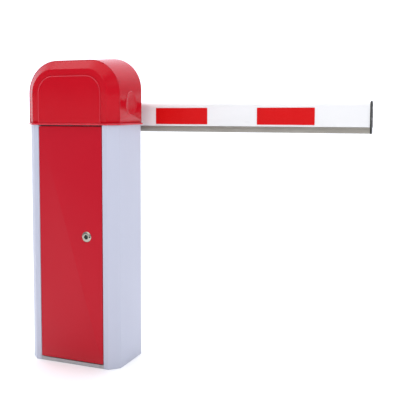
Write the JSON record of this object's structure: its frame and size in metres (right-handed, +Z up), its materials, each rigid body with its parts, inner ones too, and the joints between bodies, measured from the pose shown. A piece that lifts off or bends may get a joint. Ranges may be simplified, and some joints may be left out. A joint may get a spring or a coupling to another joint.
{
  "type": "automatic boom barrier gate",
  "caption": "Automatic boom barrier: steel cabinet with lockable door and lift-off hood, geared motor, parallel crank drive, balance springs and a red and white boom that lifts to vertical.",
  "frame": {"origin": "centre of the cabinet's underside, on the ground plane", "axes": "+X along the closed boom, +Y from the door to the boom side, +Z up"},
  "size_m": [1.0728, 0.3362, 1.0065],
  "materials": {
    "cabinet_paint": "gloss powder coat",
    "red_paint": "gloss powder coat",
    "red_moulding": "gloss, moulded",
    "zinc_steel": "zinc plated",
    "bright_steel": "ground",
    "spring_steel": "oiled spring wire",
    "cast_grey": "painted casting",
    "motor_paint": "painted",
    "chrome": "polished",
    "black_rubber": "matte",
    "grey_rubber": "satin, extruded",
    "black_plastic": "satin",
    "wheel_plastic": "satin",
    "grey_plastic": "satin",
    "lid_plastic": "satin",
    "green_board": "lacquered",
    "white_profile": "gloss white lacquer",
    "red_film": "gloss reflective film",
    "cap_grey": "satin"
  },
  "bodies": {
    "cabinet": {"base_plate": "zinc_steel", "anchor_bolt_1": "zinc_steel", "anchor_bolt_2": "zinc_steel", "anchor_bolt_3": "zinc_steel", "anchor_bolt_4": "zinc_steel", "cabinet_shell": "cabinet_paint", "door_pin_lower": "bright_steel", "door_pin_upper": "bright_steel", "mech_deck": "zinc_steel", "bearing_front": "cast_grey", "bearing_rear": "cast_grey", "gearbox": "cast_grey", "motor": "motor_paint", "spring_hanger": "zinc_steel", "spring_screw_left": "bright_steel", "spring_screw_right": "bright_steel", "spring_left": "spring_steel", "spring_right": "spring_steel", "stop_bracket_left": "zinc_steel", "stop_bracket_right": "zinc_steel", "stop_buffer_left": "black_rubber", "stop_buffer_right": "black_rubber", "limit_switch_left": "black_plastic", "limit_switch_right": "black_plastic", "control_housing": "grey_plastic", "control_lid": "lid_plastic", "circuit_board": "green_board", "capacitor": "black_plastic", "terminal_strip": "grey_plastic"},
    "door": {"door": "red_paint", "lock_barrel": "chrome"},
    "lock": {"lock_plug": "chrome", "lock_cam": "zinc_steel"},
    "hood": {"hood": "red_moulding", "hood_catch_left": "zinc_steel", "hood_catch_right": "zinc_steel"},
    "boom": {"main_shaft": "bright_steel", "main_lever": "zinc_steel", "stop_arm": "zinc_steel", "limit_cam": "black_plastic", "boom_hub": "zinc_steel", "boom_bracket": "zinc_steel", "boom_clamp": "zinc_steel", "clamp_bolt_1": "bright_steel", "clamp_bolt_2": "bright_steel", "clamp_bolt_3": "bright_steel", "clamp_bolt_4": "bright_steel", "boom_profile": "white_profile", "boom_rubber": "grey_rubber", "boom_cap": "cap_grey", "boom_plug": "cap_grey", "band_front_1": "red_film", "band_front_2": "red_film", "band_back_1": "red_film", "band_back_2": "red_film"},
    "crank": {"crank_arm": "zinc_steel"},
    "connecting_rod": {"connecting_rod": "zinc_steel"},
    "spring_link": {"spring_link": "zinc_steel", "spring_yoke": "zinc_steel"},
    "handwheel": {"handwheel": "wheel_plastic"}
  },
  "joints": [
    {"name": "boom_hinge", "type": "hinge", "parent": "cabinet", "child": "boom", "pos_m": [0, 0, 0.82], "axis": [0, -1, 0], "range_deg": [0, 90], "deforming": ["spring_left", "spring_right"]},
    {"name": "crank_turn", "type": "hinge", "parent": "cabinet", "child": "crank", "pos_m": [0, 0, 0.655], "axis": [0, -1, 0], "range_deg": [0, 90]},
    {"name": "connecting_rod_swing", "type": "hinge", "parent": "boom", "child": "connecting_rod", "pos_m": [0.04243, -0.048, 0.77757], "axis": [0, -1, 0], "range_deg": [-90, 0]},
    {"name": "spring_link_swing", "type": "hinge", "parent": "boom", "child": "spring_link", "pos_m": [-0.03889, -0.048, 0.85889], "axis": [0, -1, 0], "range_deg": [-90, 0]},
    {"name": "handwheel_spin", "type": "hinge", "parent": "cabinet", "child": "handwheel", "pos_m": [0, 0.02, 0.436], "axis": [0, 0, 1], "range_deg": [0, 2700]},
    {"name": "door_hinge", "type": "hinge", "parent": "cabinet", "child": "door", "pos_m": [-0.1125, -0.1045, 0.4], "axis": [0, 0, -1], "range_deg": [0, 110]},
    {"name": "lock_turn", "type": "hinge", "parent": "door", "child": "lock", "pos_m": [0.0594, -0.1075, 0.427], "axis": [0, 1, 0], "range_deg": [0, 90]},
    {"name": "hood_lift", "type": "slide", "parent": "cabinet", "child": "hood", "axis": [0, 0, 1], "range_m": [0, 0.25]}
  ],
  "couplings": [
    {"joint": "crank_turn", "follows": "boom_hinge", "ratio": 1},
    {"joint": "connecting_rod_swing", "follows": "boom_hinge", "ratio": -1},
    {"joint": "spring_link_swing", "follows": "boom_hinge", "ratio": -1},
    {"joint": "handwheel_spin", "follows": "boom_hinge", "ratio": 30}
  ]
}
